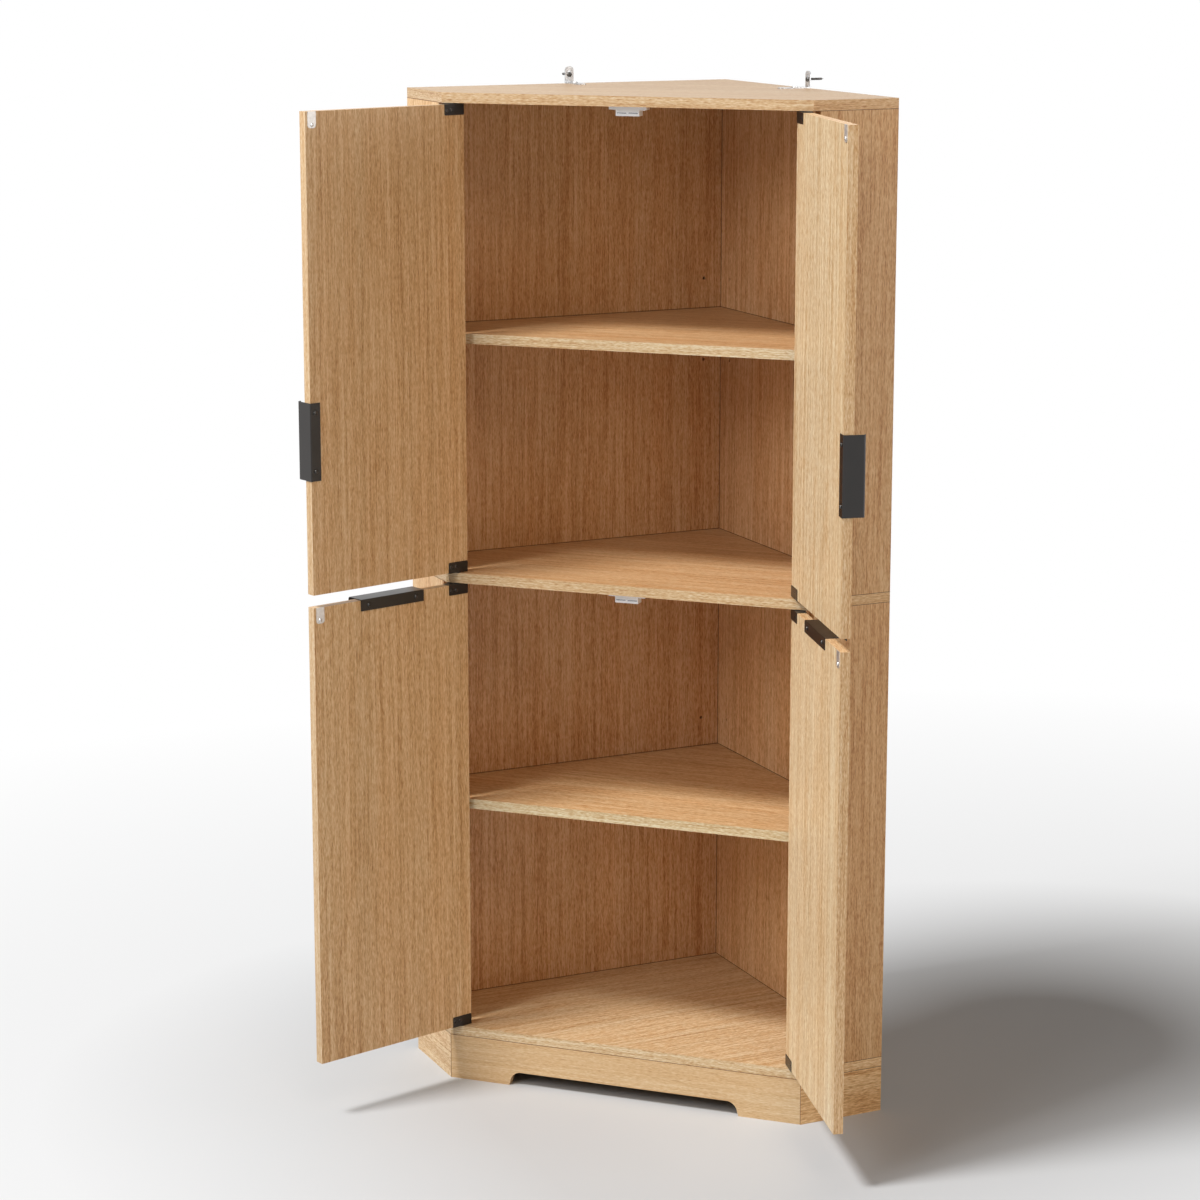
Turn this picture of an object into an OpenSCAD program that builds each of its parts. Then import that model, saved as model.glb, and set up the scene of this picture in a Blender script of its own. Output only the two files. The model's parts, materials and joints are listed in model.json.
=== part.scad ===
// Five-sided corner cabinet with two pairs of doors, shown with every door open.
// The origin is the rear corner of the plinth at floor level, where the two room walls meet.
// X runs to the right, Y towards the room corner and Z up.

/* [Cabinet] */
// Height from the floor to the top face
cabinet_h = 1600; // [1400:10:1800]
// Width across the two side corners
cabinet_w = 800; // [760:5:860]
// Distance of each front corner in from the side corner beside it
corner_cut = 102.5; // [90:0.5:125]
// Height of the plinth
plinth_h = 74; // [60:1:110]
// Thickness of the top, middle and bottom panels
panel_t = 16; // [16:1:22]
// Thickness of the two narrow return panels on each level and of the plinth boards in front
side_t = 15; // [15:1:18]
// Thickness of the panels that stand against the room walls
back_t = 12; // [12:1:16]

/* [Plinth cut-out] */
// Height of the cut-out under the front apron
cutout_h = 23; // [15:1:35]
// Width of the apron's foot at the floor, on each side of the cut-out
foot_w = 102.5; // [85:0.5:140]
// Radius of the rounded upper corners of the cut-out
cutout_r = 18; // [10:1:22]
// Slope of the short straight run under each rounded corner, from upright
cutout_slope = 15; // [5:1:30]

/* [Shelves] */
// Thickness of a shelf
shelf_t = 16; // [15:1:22]
// Height of the upper face of a shelf over the floor of its compartment
shelf_up = 378; // [250:1:480]
// Distance of the lower shelf's front edge behind the cabinet front
lower_shelf_back = 26; // [26:1:60]
// Distance of the upper shelf's front edge behind the cabinet front
upper_shelf_back = 32; // [26:1:60]
// Gap between a shelf and the walls round it
shelf_gap = 1.5; // [1:0.5:3]
// Step between the holes for the shelf pins
shelf_step = 68; // [32:4:96]
// Diameter of a shelf pin
shelf_pin_d = 5; // [4:0.5:6]
// Distance of the rear pins from the inner rear corner
rear_pin_in = 32; // [25:1:60]

/* [Doors] */
// Thickness of a door
door_t = 15; // [15:1:18]
// Gap above and below a door
door_gap = 2; // [2:0.5:3]
// Distance of a door's hinge end from the corner of the front
door_end_gap = 1.5; // [1:0.5:3]
// Gap between two closed doors
centre_gap = 4; // [4:0.5:6]
// Angle that the doors stand open
door_open = 120.5; // [0:0.5:150]

/* [Handles] */
// Length of a handle
handle_len = 120; // [80:5:160]
// Thickness of the folded sheet
handle_t = 1.2; // [1:0.1:1.5]
// Width of the screwed flange, from the edge of the door
flange_w = 17; // [14:1:24]
// Reach of a handle in front of the door
handle_reach = 18; // [12:1:24]
// Outer radius of the curled grip
grip_r = 4; // [3:0.5:6]
// Height of the curled grip
grip_h = 6; // [6:0.5:10]
// Height of an upper handle's middle over the lower edge of its door
upper_handle_up = 237; // [120:1:400]
// Distance between the two screws of a handle
handle_screw_pitch = 90; // [50:2:140]

/* [Pivot hinges] */
// Distance of the pivot pin from the hinge end of the door
pin_in = 14.5; // [13:0.5:16]
// Diameter of the pivot pin
pin_d = 5; // [4:0.5:6]
// Depth that the pin reaches into the door
pin_reach = 9; // [6:1:14]
// Running clearance round the pin
pin_clear = 0.05; // [0.02:0.01:0.1]
// Thickness of the hinge sheet
leaf_t = 0.8; // [0.6:0.1:0.9]
// Width of the hinge leaf along the door
leaf_w = 37; // [32:1:48]
// Length of the pivot plate screwed to the panel
plate_w = 20; // [19:0.5:30]
// Height of the leaf on the inner face of the door
leaf_h = 16.5; // [14:0.5:24]
// Corner radius of the hinge sheet
leaf_r = 2; // [1:0.5:4]

/* [Catches and strikes] */
// Width of the screwed base of a double magnetic catch
catch_base_w = 60; // [56:1:66]
// Thickness of that base
catch_base_t = 5.5; // [4:0.5:7]
// Width of the catch housing
catch_w = 38; // [36:1:44]
// Depth of the catch from front to back
catch_d = 16; // [14:1:24]
// Height of the whole catch
catch_h = 15; // [14:0.5:20]
// Width of a flat magnet
magnet_w = 15; // [12:0.5:16]
// Thickness of a flat magnet
magnet_h = 1.6; // [1.4:0.1:2.4]
// Distance that the magnets stand proud of their housing
magnet_proud = 0.4; // [0.2:0.1:0.6]
// Air gap between a magnet and a strike when the door is closed
strike_air = 0.5; // [0.3:0.1:1]
// Width of a strike plate
strike_w = 15; // [12:1:18]
// Height of a strike plate
strike_h = 25; // [22:1:32]
// Thickness of a strike plate
strike_t = 1; // [0.8:0.1:1.5]
// Distance of a strike plate from the free edge of its door
strike_in = 3.5; // [2:0.5:6]
// Corner radius at the lower end of a strike plate
strike_r = 5; // [3:0.5:6]

/* [Wall brackets] */
// Width of a wall bracket
bracket_w = 15; // [12:1:20]
// Thickness of a wall bracket
bracket_t = 2; // [1.5:0.5:3]
// Height of the upright leaf over the top panel
bracket_up = 27; // [24:1:40]
// Length of the leaf that lies on the top panel
bracket_len = 54; // [46:1:80]
// Distance of a bracket's middle from the rear corner, along the wall
bracket_from_corner = 285; // [150:5:380]
// Corner radius of both leaves
bracket_r = 6; // [4:0.5:6]
// Width of the slots
slot_w = 5; // [4.5:0.5:6]
// Length that a wall screw stands out behind the cabinet
wall_screw_out = 27; // [10:1:40]

/* [Hidden] */
$fn = 48;
diag = sqrt(2);
corner_angle = 45;
right_angle = 90;
half_turn = 180;
overrun = 1;
clear = 0.05;
oak = [0.80, 0.64, 0.44];
oak_end = [0.84, 0.70, 0.50];
black_sheet = [0.16, 0.15, 0.15];
zinc = [0.72, 0.72, 0.72];
steel_grey = [0.62, 0.60, 0.58];
white_plastic = [0.93, 0.93, 0.92];
beech = [0.83, 0.70, 0.52];

half_w = cabinet_w / 2;
front_half = half_w - corner_cut;
cutout_half = front_half - foot_w;
depth = half_w + corner_cut;
return_len = corner_cut * diag;
wall_len = half_w * diag;
comp_h = (cabinet_h - plinth_h - 3 * panel_t) / 2;
floor_1 = plinth_h + panel_t;
ceiling_1 = floor_1 + comp_h;
floor_2 = ceiling_1 + panel_t;
ceiling_2 = floor_2 + comp_h;
mitre = side_t * tan(corner_angle / 2);

door_w = front_half - door_end_gap - centre_gap / 2;
door_h = comp_h - 2 * door_gap;
door_x = -front_half + door_end_gap;
pivot_x = front_half - door_end_gap - pin_in;
pivot_y = -depth + door_t / 2;

// Sweep of the door's hinge end round the pivot, and where the return panel starts behind it
swing_r = sqrt(pow(pin_in, 2) + pow(door_t / 2 + leaf_t, 2));
swing_clear = 1.3;
pivot_back = (front_half - pivot_x) / diag - door_t / 2 / diag;
return_start = swing_r + swing_clear - pivot_back;

// Wooden dowels and cam fittings in the carcass joints
dowel_d = 6;
dowel_in_panel = 7;
dowel_in_board = 18;
fastener_in = 40;
return_fastener_in = 32;
apron_in = 75;
cam_pitch = 64;
cam_d = 15;
cam_depth = 9.5;
cam_up = 24;
cam_slot_d = 7.4;
bolt_d = 6;
bolt_neck_d = 4;
bolt_head_d = 7;
bolt_head_h = 2.5;
bolt_neck_h = 4;
bolt_in_panel = 7;
bolt_bore_d = 7.4;

// Screws: head diameter, head height, shank diameter and length
pan_head_d = 7;
pan_head_h = 2;
pan_top_share = 0.7;
pan_shank_d = 3;
pan_len = 11;
csk_head_d = 6;
csk_head_h = 1.7;
csk_shank_d = 2.8;
csk_len = 12;
strike_screw_d = 6;
strike_screw_h = 1.6;
strike_screw_up = 5.5;
strike_screw_len = 10;
bracket_screw_d = 8.5;
bracket_screw_h = 2.4;
bracket_shank_d = 4;
bracket_screw_len = 13;
bracket_screw_in = 24.5;
wall_screw_up = 14;
wall_slot_low = 9;
wall_slot_high = 21;
top_slot_from = 18;
top_slot_to = 34;
screw_tip = 5;

handle_screw_in = 8;
leaf_screw_from = 22;
leaf_screw_pitch = 10;
leaf_screw_down = 9;
plate_screw_in = 5.5;
plate_screw_len = 7;
pin_in_panel = 6;

pin_hole_depth = 8;
pin_inset = 7.6;
pin_out = 8;
pin_collar_d = 8;
pin_collar_t = 0.8;
front_pin_share = 0.5;

magnet_d = 11;
magnet_place_share = 0.25;
magnet_level_share = 0.54;
catch_screw_d = 5.5;
catch_screw_h = 1.5;
catch_shank_d = 2.8;
catch_screw_len = 14;

UP = 1;
LOW = 0;
LEFT = -1;
RIGHT = 1;
LEVELS = [LOW, UP];
SIDES = [LEFT, RIGHT];

function level_floor(level) = level == UP ? floor_2 : floor_1;
function level_ceiling(level) = level == UP ? ceiling_2 : ceiling_1;

// Places of the fasteners along a board, from its front or side corner
function dowel_places(is_return) = is_return
    ? [return_start + return_fastener_in]
    : [side_t + fastener_in, wall_len - back_t - fastener_in];
function cam_places(is_return) = is_return
    ? [return_len - return_fastener_in]
    : [side_t + fastener_in + cam_pitch, wall_len - back_t - fastener_in - cam_pitch];

// Plan outline inside walls of the given thicknesses, with its front edge set back
function plan_outline(at_return, at_back, at_front) = [
    [-front_half + at_return * diag - at_front, -depth + at_front],
    [-half_w + (at_return + at_back) / diag, -half_w + (at_return - at_back) / diag],
    [0, -at_back * diag],
    [half_w - (at_return + at_back) / diag, -half_w + (at_return - at_back) / diag],
    [front_half - at_return * diag + at_front, -depth + at_front]
];

// The left side is drawn, and the right side is its mirror image
module on_side(side) {
    if (side == RIGHT) mirror([1, 0, 0]) children();
    else children();
}

// Frames of a return and of a back: X runs along the outer face towards the rear, Y points outwards
module return_frame(side) {
    on_side(side) translate([-front_half, -depth, 0]) rotate(half_turn - corner_angle) children();
}

module back_frame(side) {
    on_side(side) translate([-half_w, -half_w, 0]) rotate(corner_angle) children();
}

module board_frame(side, is_return) {
    if (is_return) return_frame(side) children();
    else back_frame(side) children();
}

// A joint lies at the end of a board: Z points into the board, and the panel is below
module at_joint(z, above) {
    translate([0, 0, z]) {
        if (above) children();
        else mirror([0, 0, 1]) children();
    }
}

module pan_screw(head_d, head_h, shank_d, length) {
    cylinder(d1 = head_d, d2 = head_d * pan_top_share, h = head_h);
    translate([0, 0, -length]) cylinder(d = shank_d, h = length);
}

module csk_screw(grow, length) {
    translate([0, 0, -csk_head_h]) {
        cylinder(d1 = csk_shank_d + 2 * grow, d2 = csk_head_d + 2 * grow, h = csk_head_h);
        translate([0, 0, -length + csk_head_h - grow])
            cylinder(d = csk_shank_d + 2 * grow, h = length - csk_head_h + grow);
    }
}

module shank_bore(shank_d, length) {
    translate([0, 0, -length - clear]) cylinder(d = shank_d + 2 * clear, h = length + clear + overrun);
}

// A rectangle from the origin with its two far corners rounded
module tab(w, h, r) {
    square([w - r, h]);
    translate([0, r]) square([w, h - 2 * r]);
    translate([w - r, h - r]) circle(r = r);
    translate([w - r, r]) circle(r = r);
}

// Carcass joints

module joint_dowels(is_return, t) {
    for (x = dowel_places(is_return))
        translate([x, -t / 2, -dowel_in_panel]) cylinder(d = dowel_d, h = dowel_in_panel + dowel_in_board);
}

module joint_dowel_bores(is_return, t) {
    for (x = dowel_places(is_return))
        translate([x, -t / 2, -dowel_in_panel - clear])
            cylinder(d = dowel_d + 2 * clear, h = dowel_in_panel + dowel_in_board + 2 * clear);
}

// Cams sit in the hidden face: the wall side of a back, the inner side of a return
module cam_seat(is_return, t) {
    for (x = cam_places(is_return))
        translate([x, is_return ? -t : 0, cam_up]) rotate([is_return ? -right_angle : right_angle, 0, 0]) children();
}

module cam_body(is_return, t) {
    difference() {
        cam_seat(is_return, t) cylinder(d = cam_d, h = cam_depth);
        for (x = cam_places(is_return))
            translate([x, -t / 2, 0]) cylinder(d = cam_slot_d, h = cam_up + bolt_head_h);
    }
}

module joint_bolts(is_return, t) {
    for (x = cam_places(is_return)) translate([x, -t / 2, -bolt_in_panel]) {
        cylinder(d = bolt_d, h = bolt_in_panel + cam_up - bolt_head_h - bolt_neck_h);
        cylinder(d = bolt_neck_d, h = bolt_in_panel + cam_up - bolt_head_h);
        translate([0, 0, bolt_in_panel + cam_up - bolt_head_h]) cylinder(d = bolt_head_d, h = bolt_head_h);
    }
}

module joint_cam_bores(is_return, t) {
    cam_seat(is_return, t) translate([0, 0, -overrun]) cylinder(d = cam_d + 2 * clear, h = cam_depth + clear + overrun);
    for (x = cam_places(is_return)) {
        translate([x, -t / 2, -bolt_in_panel - clear]) cylinder(d = bolt_d + 2 * clear, h = bolt_in_panel + 2 * clear);
        translate([x, -t / 2, 0]) cylinder(d = bolt_bore_d, h = cam_up);
    }
}

module joint_bores(is_return, t) {
    joint_dowel_bores(is_return, t);
    joint_cam_bores(is_return, t);
}

module joint_cut(z, above) {
    at_joint(z, above) for (side = SIDES) {
        return_frame(side) joint_bores(true, side_t);
        back_frame(side) joint_bores(false, back_t);
    }
}

// Plinth boards are only dowelled to the bottom panel
function apron_dowels() = [-front_half + apron_in, 0, front_half - apron_in];

module plinth_dowel_row(grow) {
    translate([0, 0, plinth_h - dowel_in_board - grow]) {
        for (x = apron_dowels())
            translate([x, -depth + side_t / 2, 0]) cylinder(d = dowel_d + 2 * grow, h = dowel_in_panel + dowel_in_board + 2 * grow);
        for (side = SIDES) {
            return_frame(side) translate([return_len / 2, -side_t / 2, 0])
                cylinder(d = dowel_d + 2 * grow, h = dowel_in_panel + dowel_in_board + 2 * grow);
            back_frame(side) for (x = dowel_places(false)) translate([x, -back_t / 2, 0])
                cylinder(d = dowel_d + 2 * grow, h = dowel_in_panel + dowel_in_board + 2 * grow);
        }
    }
}

// Level panels

module panel(z) {
    translate([0, 0, z]) linear_extrude(panel_t) polygon(plan_outline(0, 0, 0));
}

module top_panel() {
    color(oak) difference() {
        panel(ceiling_2);
        joint_cut(ceiling_2, false);
        pivot_bores(UP, true);
        catch_screw_places(UP) shank_bore(catch_shank_d, catch_screw_len);
        for (side = SIDES) bracket_top_screw(side) shank_bore(bracket_shank_d, bracket_screw_len);
    }
}

module middle_panel() {
    color(oak) difference() {
        panel(ceiling_1);
        joint_cut(ceiling_1, false);
        joint_cut(floor_2, true);
        pivot_bores(UP, false);
        pivot_bores(LOW, true);
        catch_screw_places(LOW) shank_bore(catch_shank_d, catch_screw_len);
    }
}

module bottom_panel() {
    color(oak) difference() {
        panel(plinth_h);
        joint_cut(floor_1, true);
        plinth_dowel_row(clear);
        pivot_bores(LOW, false);
    }
}

// Upright boards

module upright(from, to, t, level) {
    translate([from, -t, level_floor(level)]) cube([to - from, t, comp_h]);
}

function pin_height(level) = level_floor(level) + shelf_up - shelf_t - shelf_pin_d / 2;
function rear_pin_x() = wall_len - back_t - rear_pin_in;
function front_pin_x() = return_start + (return_len - return_start) * front_pin_share;

// Three holes above each other, the shelf's pin in the middle one
module pin_holes(x, t, level) {
    for (step = [-1, 0, 1])
        translate([x, -t - overrun, pin_height(level) + step * shelf_step]) rotate([-right_angle, 0, 0])
            cylinder(d = shelf_pin_d + 2 * clear, h = pin_hole_depth + overrun);
}

module return_board(side, level) {
    color(oak) difference() {
        return_frame(side) upright(return_start, return_len, side_t, level);
        at_joint(level_floor(level), true) return_frame(side) joint_bores(true, side_t);
        at_joint(level_ceiling(level), false) return_frame(side) joint_bores(true, side_t);
        return_frame(side) pin_holes(front_pin_x(), side_t, level);
    }
}

// The left back runs through to the room corner, and the right one butts against it
function back_end(side) = side == LEFT ? wall_len : wall_len - back_t;

module back_board(side, level) {
    color(oak) difference() {
        back_frame(side) upright(side_t, back_end(side), back_t, level);
        at_joint(level_floor(level), true) back_frame(side) joint_bores(false, back_t);
        at_joint(level_ceiling(level), false) back_frame(side) joint_bores(false, back_t);
        back_frame(side) pin_holes(rear_pin_x(), back_t, level);
    }
}

// Plinth

module cutout_end() {
    // Where the round corner ends and the straight run to the floor begins
    end_x = cutout_r * cos(cutout_slope);
    end_z = cutout_h - cutout_r + cutout_r * sin(cutout_slope);
    centre_x = cutout_half - end_x - end_z * tan(cutout_slope);
    translate([centre_x, cutout_h - cutout_r]) intersection() {
        circle(r = cutout_r);
        polygon([[0, 0], [cutout_r, 0], [cutout_r * 2, cutout_r * 2 * tan(cutout_slope)], [cutout_r * 2, cutout_r * 2], [0, cutout_r * 2]]);
    }
    polygon([
        [0, -overrun], [cutout_half + overrun * tan(cutout_slope), -overrun],
        [centre_x + end_x, end_z], [centre_x, cutout_h - cutout_r], [centre_x, cutout_h], [0, cutout_h]
    ]);
}

module plinth_front() {
    color(oak) difference() {
        translate([0, -depth, 0]) linear_extrude(plinth_h)
            polygon([[-front_half, 0], [front_half, 0], [front_half - mitre, side_t], [-front_half + mitre, side_t]]);
        translate([0, -depth + side_t + overrun, 0]) rotate([right_angle, 0, 0]) linear_extrude(side_t + 2 * overrun)
            for (turn = [0, 1]) mirror([turn, 0]) cutout_end();
        plinth_dowel_row(clear);
    }
}

module plinth_return(side) {
    color(oak) difference() {
        return_frame(side) linear_extrude(plinth_h)
            polygon([[0, 0], [return_len, 0], [return_len, -side_t], [mitre, -side_t]]);
        plinth_dowel_row(clear);
    }
}

module plinth_back(side) {
    color(oak) difference() {
        back_frame(side) translate([side_t, -back_t, 0]) cube([back_end(side) - side_t, back_t, plinth_h]);
        plinth_dowel_row(clear);
    }
}

// Shelves

module shelf(level) {
    set_back = level == UP ? upper_shelf_back : lower_shelf_back;
    color(oak) translate([0, 0, level_floor(level) + shelf_up - shelf_t]) linear_extrude(shelf_t)
        polygon(plan_outline(side_t + shelf_gap, back_t + shelf_gap, set_back));
}

module shelf_pin(x, t, level) {
    translate([x, -t, pin_height(level)]) rotate([right_angle, 0, 0]) {
        translate([0, 0, -pin_inset]) cylinder(d = shelf_pin_d, h = pin_inset + pin_out);
        cylinder(d = pin_collar_d, h = pin_collar_t);
    }
}

module shelf_pins(level) {
    color(zinc) for (side = SIDES) {
        return_frame(side) shelf_pin(front_pin_x(), side_t, level);
        back_frame(side) shelf_pin(rear_pin_x(), back_t, level);
    }
}

// Magnetic catches

catch_y = -depth + door_t + strike_t + strike_air + magnet_proud;

module catch_frame(level) {
    translate([0, catch_y, level_ceiling(level)]) mirror([0, 0, 1]) children();
}

module catch_screw_places(level) {
    catch_frame(level) for (side = SIDES)
        translate([side * (catch_base_w + catch_w) / 4, catch_d / 2, catch_base_t]) children();
}

// Room for one flat magnet, open at the front of the housing
module magnet_places(grow, out, z_from) {
    for (side = SIDES)
        translate([side * catch_w * magnet_place_share - magnet_w / 2 - grow, -out, z_from - magnet_h / 2 - grow])
            cube([magnet_w + 2 * grow, magnet_d + out + grow, magnet_h + 2 * grow]);
}

function magnet_z() = catch_base_t + (catch_h - catch_base_t) * magnet_level_share;

module catch_housing(level) {
    color(white_plastic) difference() {
        catch_frame(level) difference() {
            union() {
                translate([-catch_base_w / 2, 0, 0]) cube([catch_base_w, catch_d, catch_base_t]);
                translate([-catch_w / 2, 0, 0]) cube([catch_w, catch_d, catch_h]);
            }
            magnet_places(clear, overrun, magnet_z());
        }
        catch_screw_places(level) shank_bore(catch_shank_d, catch_screw_len);
    }
}

module catch_magnets() {
    color(steel_grey) for (level = LEVELS) catch_frame(level) magnet_places(0, magnet_proud, magnet_z());
}

module catch_screws() {
    color(zinc) for (level = LEVELS) catch_screw_places(level)
        pan_screw(catch_screw_d, catch_screw_h, catch_shank_d, catch_screw_len);
}

// Wall brackets

module bracket_frame(side) {
    back_frame(side) translate([wall_len - bracket_from_corner, 0, cabinet_h]) children();
}

module bracket_top_screw(side) {
    bracket_frame(side) translate([0, -bracket_screw_in, bracket_t]) children();
}

module slot_shape(from, to) {
    square_from = from + slot_w / 2;
    square_len = to - from - slot_w;
    translate([-slot_w / 2, square_from]) square([slot_w, square_len]);
    for (y = [square_from, square_from + square_len]) translate([0, y]) circle(d = slot_w);
}

module wall_bracket(side) {
    color(zinc) bracket_frame(side) {
        difference() {
            mirror([0, 1, 0]) linear_extrude(bracket_t) difference() {
                translate([bracket_w / 2, 0]) rotate(right_angle) tab(bracket_len, bracket_w, bracket_r);
                slot_shape(top_slot_from, top_slot_to);
            }
        }
        rotate([right_angle, 0, 0]) linear_extrude(bracket_t) difference() {
            translate([bracket_w / 2, 0]) rotate(right_angle) tab(bracket_up, bracket_w, bracket_r);
            slot_shape(wall_slot_low, wall_slot_high);
        }
    }
}

module bracket_screws() {
    color(zinc) for (side = SIDES) bracket_top_screw(side)
        pan_screw(bracket_screw_d, bracket_screw_h, bracket_shank_d, bracket_screw_len);
}

module wall_screws() {
    color(steel_grey) for (side = SIDES) bracket_frame(side)
        translate([0, -bracket_t, wall_screw_up]) rotate([right_angle, 0, 0]) {
            cylinder(d1 = bracket_screw_d, d2 = bracket_screw_d * pan_top_share, h = bracket_screw_h);
            translate([0, 0, -bracket_t - wall_screw_out + screw_tip])
                cylinder(d = bracket_shank_d, h = bracket_t + wall_screw_out - screw_tip);
            translate([0, 0, -bracket_t - wall_screw_out])
                cylinder(d1 = 0, d2 = bracket_shank_d, h = screw_tip);
        }
}

// Doors

// Closed place of a door: X from the hinge end to the free edge, Y from the front to the inner face
module closed_door_frame(side, level) {
    on_side(side) translate([door_x, -depth, level_floor(level) + door_gap]) children();
}

module swing() {
    translate([-pivot_x, pivot_y, 0]) rotate(-door_open) translate([pivot_x, -pivot_y, 0]) children();
}

module door_frame(side, level) {
    on_side(side) swing() translate([door_x, -depth, level_floor(level) + door_gap]) children();
}

// Upper or lower end of a door: Z points out of the door
module door_end(at_top) {
    translate([0, 0, at_top ? door_h : 0]) {
        if (at_top) children();
        else mirror([0, 0, 1]) children();
    }
}

// Carcass side of a pivot: a plate under or over the panel, with its pin let into the panel
module pivot_plate() {
    translate([0, 0, door_gap - leaf_t]) difference() {
        linear_extrude(leaf_t) tab(plate_w, door_t, leaf_r);
        translate([plate_screw_in, door_t / 2, 0]) mirror([0, 0, 1]) csk_screw(clear, plate_screw_len);
    }
    translate([pin_in, door_t / 2, -pin_reach]) cylinder(d = pin_d, h = pin_reach + door_gap + pin_in_panel);
}

module pivots(side, level) {
    color(black_sheet) closed_door_frame(side, level) for (at_top = [false, true]) door_end(at_top) pivot_plate();
}

module pivot_screw_places(level, at_top) {
    for (side = SIDES) closed_door_frame(side, level) door_end(at_top)
        translate([plate_screw_in, door_t / 2, door_gap - leaf_t]) mirror([0, 0, 1]) children();
}

module pivot_screws() {
    color(black_sheet) for (level = LEVELS, at_top = [false, true]) pivot_screw_places(level, at_top) csk_screw(0, plate_screw_len);
}

// Holes in a panel for the screws and the pins of its pivots
module pivot_bores(level, at_top) {
    pivot_screw_places(level, at_top) csk_screw(clear, plate_screw_len);
    for (side = SIDES) closed_door_frame(side, level) door_end(at_top)
        translate([pin_in, door_t / 2, door_gap - overrun]) cylinder(d = pin_d + 2 * clear, h = overrun + pin_in_panel + clear);
}

// Door side of a pivot: a bent leaf over the end and the inner face of the door
module hinge_leaf() {
    difference() {
        cube([leaf_w, door_t + leaf_t, leaf_t]);
        translate([pin_in, door_t / 2, -overrun]) cylinder(d = pin_d + 2 * pin_clear, h = leaf_t + 2 * overrun);
    }
    difference() {
        translate([0, door_t + leaf_t, leaf_t]) rotate([right_angle, 0, 0]) linear_extrude(leaf_t) mirror([0, 1])
            rotate(right_angle) mirror([0, 1]) tab(leaf_h + leaf_t, leaf_w, leaf_r);
        leaf_screw_places() csk_screw(clear, csk_len);
    }
}

module leaf_screw_places() {
    for (step = [-1, 0]) translate([leaf_screw_from + (step + 1) * leaf_screw_pitch, door_t + leaf_t, -leaf_screw_down])
        rotate([-right_angle, 0, 0]) children();
}

module hinge_leaves(side, level) {
    color(black_sheet) door_frame(side, level) for (at_top = [false, true]) door_end(at_top) hinge_leaf();
}

// Handle: a flange on the inner face, a web over the edge and a grip curled back in front.
// X points out of the edge of the door, Y from its front to its inner face, Z along the handle.
module handle_profile() {
    web_front = -handle_reach + grip_r;
    translate([handle_t - grip_r, web_front]) difference() {
        intersection() {
            circle(r = grip_r);
            translate([0, -grip_r]) square([grip_r, grip_r]);
        }
        circle(r = grip_r - handle_t);
    }
    translate([handle_t - grip_h, -handle_reach]) square([grip_h - grip_r, handle_t]);
    translate([0, web_front]) square([handle_t, -web_front + door_t]);
    translate([-flange_w, door_t]) square([flange_w, handle_t]);
    intersection() {
        translate([0, door_t]) circle(r = handle_t);
        translate([0, door_t]) square([handle_t, handle_t]);
    }
}

// The upper handles stand on the free edge, and the lower ones lie on the top edge
module handle_frame(level) {
    if (level == UP)
        translate([door_w, 0, upper_handle_up - handle_len / 2]) children();
    else
        translate([(door_w + handle_len) / 2, 0, door_h]) rotate([0, -right_angle, 0]) children();
}

module handle_screw_places(level) {
    handle_frame(level) for (step = [-1, 1])
        translate([-handle_screw_in, door_t + handle_t, handle_len / 2 + step * handle_screw_pitch / 2])
            rotate([-right_angle, 0, 0]) children();
}

module handle(side, level) {
    color(black_sheet) door_frame(side, level) difference() {
        handle_frame(level) linear_extrude(handle_len) handle_profile();
        handle_screw_places(level) shank_bore(pan_shank_d, pan_len);
    }
}

module strike_frame() {
    translate([door_w - strike_in - strike_w, door_t, door_h - strike_h]) children();
}

module strike_screw_place() {
    strike_frame() translate([strike_w / 2, strike_t, strike_screw_up]) rotate([-right_angle, 0, 0]) children();
}

module strike(side, level) {
    color(steel_grey) door_frame(side, level) difference() {
        strike_frame() translate([0, strike_t, strike_h]) rotate([right_angle, 0, 0]) linear_extrude(strike_t)
            mirror([0, 1]) rotate(right_angle) mirror([0, 1]) tab(strike_h, strike_w, strike_r);
        strike_screw_place() shank_bore(pan_shank_d, strike_screw_len);
    }
}

module door(side, level) {
    color(oak) door_frame(side, level) difference() {
        cube([door_w, door_t, door_h]);
        for (at_top = [false, true]) door_end(at_top) {
            translate([pin_in, door_t / 2, -pin_reach - overrun]) cylinder(d = pin_d + 4 * pin_clear, h = pin_reach + 2 * overrun);
            leaf_screw_places() csk_screw(clear, csk_len);
        }
        handle_screw_places(level) shank_bore(pan_shank_d, pan_len);
        strike_screw_place() shank_bore(pan_shank_d, strike_screw_len);
    }
}

module door_screws(side, level) {
    color(black_sheet) door_frame(side, level) {
        for (at_top = [false, true]) door_end(at_top) leaf_screw_places() csk_screw(0, csk_len);
        handle_screw_places(level) pan_screw(pan_head_d, pan_head_h, pan_shank_d, pan_len);
        strike_screw_place() pan_screw(strike_screw_d, strike_screw_h, pan_shank_d, strike_screw_len);
    }
}

// Groups of hidden fasteners

module each_joint() {
    for (level = LEVELS) {
        at_joint(level_floor(level), true) children();
        at_joint(level_ceiling(level), false) children();
    }
}

module carcass_dowels() {
    color(beech) each_joint() for (side = SIDES) {
        return_frame(side) joint_dowels(true, side_t);
        back_frame(side) joint_dowels(false, back_t);
    }
}

module plinth_dowels() {
    color(beech) plinth_dowel_row(0);
}

module cam_locks() {
    color(zinc) each_joint() for (side = SIDES) {
        return_frame(side) cam_body(true, side_t);
        back_frame(side) cam_body(false, back_t);
    }
}

module cam_bolts() {
    color(steel_grey) each_joint() for (side = SIDES) {
        return_frame(side) joint_bolts(true, side_t);
        back_frame(side) joint_bolts(false, back_t);
    }
}

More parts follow.
